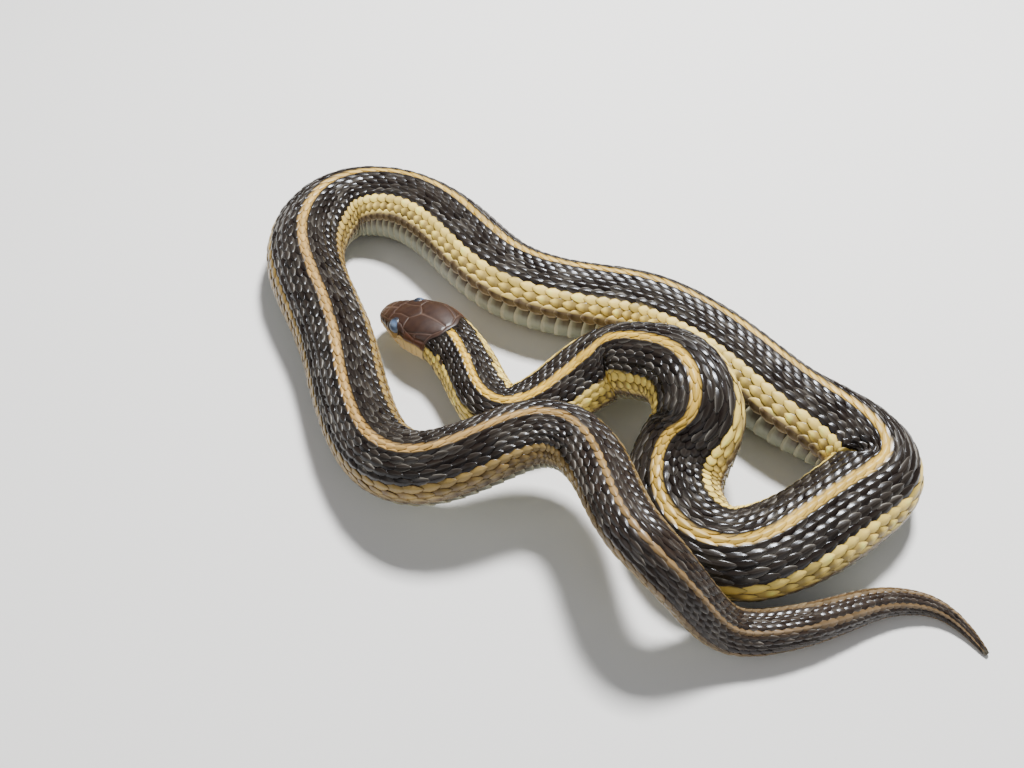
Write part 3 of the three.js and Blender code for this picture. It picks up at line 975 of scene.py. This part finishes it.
class SNAKE_OT_hide(bpy.types.Operator):
    """Lays one smooth hide over the neck, torso and tail, a little under the level of the scales"""

    bl_idname = "snake.hide"
    bl_label = "Body Hide"

    def execute(self, context):
        surface = partial(sunk_points, context.scene.snake_sizes.hide_depth)
        colour = partial(hide_colour, context.scene.snake_colours)
        distance = np.concatenate([np.arange(HIDE_START, BODY.length - 1.0, HIDE_STEP), [BODY.length - 0.4]])
        material = marked_finish("hide")
        piece = tube_piece("body_hide", distance, HIDE_SIDES, surface, colour, material)
        nodes = [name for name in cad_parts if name.startswith(("neck", "torso", "tail"))]
        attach(piece, "root")
        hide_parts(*nodes)
        return {"FINISHED"}


class SNAKE_OT_head(bpy.types.Operator):
    """Shapes the head: shields, lips, mouth line, nostrils and the rims of the eyes"""

    bl_idname = "snake.head"
    bl_label = "Head"

    def execute(self, context):
        colour = partial(head_colour, context.scene.snake_colours)
        shields = np.linspace(0.12, HIDE_START, 255)
        under_scales = np.linspace(HIDE_START + 0.12, HEAD_END, 15)
        distance = np.concatenate([[0.0, 0.05], shields, under_scales])
        material = marked_finish("head_hide")
        piece = tube_piece("head_hide", distance, HEAD_SIDES, head_points, colour, material)
        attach(piece, "root")
        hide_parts("head")
        return {"FINISHED"}


class SNAKE_OT_scales(bpy.types.Operator):
    """Covers the back and flanks with keeled scales in rows, each over the root of the next"""

    bl_idname = "snake.scales"
    bl_label = "Scales of the Back"

    def execute(self, context):
        sizes, colours = context.scene.snake_sizes, context.scene.snake_colours
        gloss = {"Specular_Tint": (0.86, 0.91, 1.0, 1.0), "Specular_IOR_Level": 0.27}
        material = marked_finish("scales", **gloss)
        lengths = (
            ("scales_front", SCALES_START, 150.0, ROW_WIDTHS, "body_skin"),
            ("scales_middle", 150.0, 300.0, ROW_WIDTHS, "body_skin"),
            ("scales_rear", 300.0, VENT, ROW_WIDTHS, "body_skin"),
            ("scales_tail", VENT, TAIL_TIP, TAIL_ROW_WIDTHS, "tail_skin"),
            ("scales_tip", TAIL_TIP, BODY.length - 1.2, TIP_ROW_WIDTHS, "tail_skin"),
        )
        foot = -sizes.hide_depth - WALL_DEPTH
        for seed, (name, start, end, widths, slot) in enumerate(lengths):
            d, turn, half = scale_layout(start, end, widths)
            keep = d > nape_start(turn)
            d, turn, half = d[keep], turn[keep], half[keep]
            plane_d, plane_t, rise, shade = scale_planes(d, turn, half, sizes, colours, seed)
            roots = bake_roots(d, turn)
            piece = plates_piece(name, plane_d, plane_t, rise, foot, shade, roots, material)
            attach(piece, "root")
        return {"FINISHED"}


class SNAKE_OT_belly(bpy.types.Operator):
    """Lays wide scutes across the belly and paired ones under the tail"""

    bl_idname = "snake.belly"
    bl_label = "Belly Scutes"

    def execute(self, context):
        scene = context.scene
        material = marked_finish("belly")
        stations = station_distances(SCALES_START, BODY.length)[::2]
        trunk = stations[(stations > BELLY_START) & (stations < VENT)]
        tail = stations[(stations >= VENT) & (stations < BODY.length - 1.5)]
        piece = self.scutes("belly_scutes", trunk, 180.0, BELLY_HALF, scene, material)
        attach(piece, "root")
        centres = np.concatenate([tail, tail + pitch_at(tail) / 2])
        turn = np.concatenate([np.full(len(tail), PAIR_TURN), np.full(len(tail), -PAIR_TURN)])
        piece = self.scutes("tail_scutes", centres, turn, PAIR_HALF, scene, material)
        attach(piece, "root")
        return {"FINISHED"}

    def scutes(self, name, d, turn, half, scene, material):
        """Plates across the belly: shorter at their rounded ends, low in front, raised at the free edge."""
        sizes = scene.snake_sizes
        a = np.linspace(0, 1, 5)[None, :, None]
        b = np.concatenate([[-1.0, -0.96], np.linspace(-0.85, 0.85, 15), [0.96, 1.0]])[None, None, :]
        pitch = pitch_at(d)[:, None, None]
        turn = np.broadcast_to(turn, d.shape)[:, None, None]
        ends = np.abs(b) ** 8
        plane_d = d[:, None, None] + sizes.belly_overlap * pitch * (a - 0.5) * (1 - 0.35 * ends)
        plane_t = turn + half * b + 0 * a
        rise = (-0.36 + 0.34 * a) * size_at(d)[:, None, None] - 0.1 * ends
        wrapped = (plane_t + 180.0) % 360.0 - 180.0
        shade = marking(scene.snake_colours, plane_d, wrapped)
        corner = smoothstep(np.abs(b), 0.68, 0.9)
        shade = blend(shade, SCUTE_CORNER, 0.9 * corner * (1 - smoothstep(a, 0.6, 0.9)))
        shade = blend(shade, SCUTE_EDGE, 0.8 * smoothstep(a, 0.7, 1.0))
        roots = bake_roots(d, np.full(d.shape, 179.0) * np.sign(turn[:, 0, 0]))
        foot = -sizes.hide_depth - WALL_DEPTH
        return plates_piece(name, plane_d, plane_t, rise, foot, shade, roots, material)


class SNAKE_OT_eyes(bpy.types.Operator):
    """Gives both eyes their clouded blue surface"""

    bl_idname = "snake.eyes"
    bl_label = "Eyes"

    def execute(self, context):
        for name, side in (("eye_left", 1), ("eye_right", -1)):
            outward = BODY.read(BODY.left, EYE_DISTANCE) * side
            pole = (eye_centre(side) + outward * EYE_RADIUS) * MM
            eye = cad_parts[name]
            eye.data.materials.clear()
            eye.data.materials.append(eye_finish(name, tuple(pole)))
        return {"FINISHED"}


class SNAKE_OT_stage(bpy.types.Operator):
    """Adds the plain floor, the soft lights and the camera"""

    bl_idname = "snake.stage"
    bl_label = "Stage"

    def execute(self, context):
        self.floor(context)
        self.light("key", (0.1, 0.26, 0.5), power=9.5, size=0.1)
        self.light("fill", (-0.45, -0.3, 0.45), power=0.9, size=0.5)
        self.light("front", (0.3, -0.5, 0.4), power=0.6, size=0.5)
        world = bpy.data.worlds.new("studio")
        world.use_nodes = True
        world.node_tree.nodes["Background"].inputs["Color"].default_value = (0.92, 0.95, 1.0, 1.0)
        world.node_tree.nodes["Background"].inputs["Strength"].default_value = 0.22
        context.scene.world = world
        self.camera(context)
        return {"FINISHED"}

    def floor(self, context):
        """Wide plain square, a hair below the animal."""
        mesh = bpy.data.meshes.new("floor")
        signs = ((-1, -1), (1, -1), (1, 1), (-1, 1))
        corners = [(x * FLOOR_REACH, y * FLOOR_REACH, -FLOOR_GAP) for x, y in signs]
        mesh.from_pydata(corners, [], [(0, 1, 2, 3)])
        finish = Finish("floor", Roughness=0.8)
        soft = finish.noise(14.0, 2.0)
        colour = context.scene.snake_colours.floor
        low = (*(0.97 * c for c in colour), 1.0)
        finish.feed("Base Color", finish.mix(soft, low, (*colour, 1.0)))
        mesh.materials.append(finish.material)
        floor = bpy.data.objects.new("floor", mesh)
        bpy.context.collection.objects.link(floor)

    def light(self, name, place, power, size):
        """Square soft lamp that faces the origin."""
        lamp = bpy.data.lights.new(name, "AREA")
        lamp.energy = power
        lamp.size = size
        lamp_object = bpy.data.objects.new(name, lamp)
        lamp_object.location = place
        lamp_object.rotation_euler = (-Vector(place)).to_track_quat("-Z", "Y").to_euler()
        bpy.context.collection.objects.link(lamp_object)

    def camera(self, context):
        """Camera at the photograph's height and distance, looking down at the middle of the picture."""
        pitch = np.radians(CAMERA_PITCH)
        aim = np.array(CAMERA_AIM)
        away = CAMERA_DISTANCE * np.array([0.0, -np.cos(pitch), np.sin(pitch)])
        camera = bpy.data.cameras.new("camera")
        camera.lens = CAMERA_LENS
        camera.sensor_width = CAMERA_LENS
        camera.clip_start = 0.01
        viewer = bpy.data.objects.new("camera", camera)
        viewer.location = aim + away
        viewer.rotation_euler = (np.pi / 2 - pitch, 0.0, 0.0)
        bpy.context.collection.objects.link(viewer)
        context.scene.camera = viewer


class SNAKE_PT_panel(bpy.types.Panel):
    """Lists the steps that build the snake"""

    bl_idname = "SNAKE_PT_panel"
    bl_label = "Garter Snake"
    bl_space_type = "VIEW_3D"
    bl_region_type = "UI"
    bl_category = "Snake"

    def draw(self, context):
        for step in STEPS:
            self.layout.operator(step.bl_idname)
        for group in (context.scene.snake_sizes, context.scene.snake_colours):
            for name in group.__annotations__:
                self.layout.prop(group, name)


STEPS = (SNAKE_OT_hide, SNAKE_OT_head, SNAKE_OT_scales, SNAKE_OT_belly, SNAKE_OT_eyes, SNAKE_OT_stage)
CLASSES = (SnakeSizes, SnakeColours, *STEPS, SNAKE_PT_panel)


def register():
    """Adds the classes and the scene's settings."""
    for kind in CLASSES:
        bpy.utils.register_class(kind)
    bpy.types.Scene.snake_sizes = bpy.props.PointerProperty(type=SnakeSizes)
    bpy.types.Scene.snake_colours = bpy.props.PointerProperty(type=SnakeColours)


def unregister():
    """Takes the settings and the classes away again."""
    del bpy.types.Scene.snake_colours
    del bpy.types.Scene.snake_sizes
    for kind in reversed(CLASSES):
        bpy.utils.unregister_class(kind)


def main():
    """Runs the steps in order."""
    register()
    bpy.ops.snake.hide()
    bpy.ops.snake.head()
    bpy.ops.snake.scales()
    bpy.ops.snake.belly()
    bpy.ops.snake.eyes()
    bpy.ops.snake.stage()


if __name__ == "__main__":
    main()
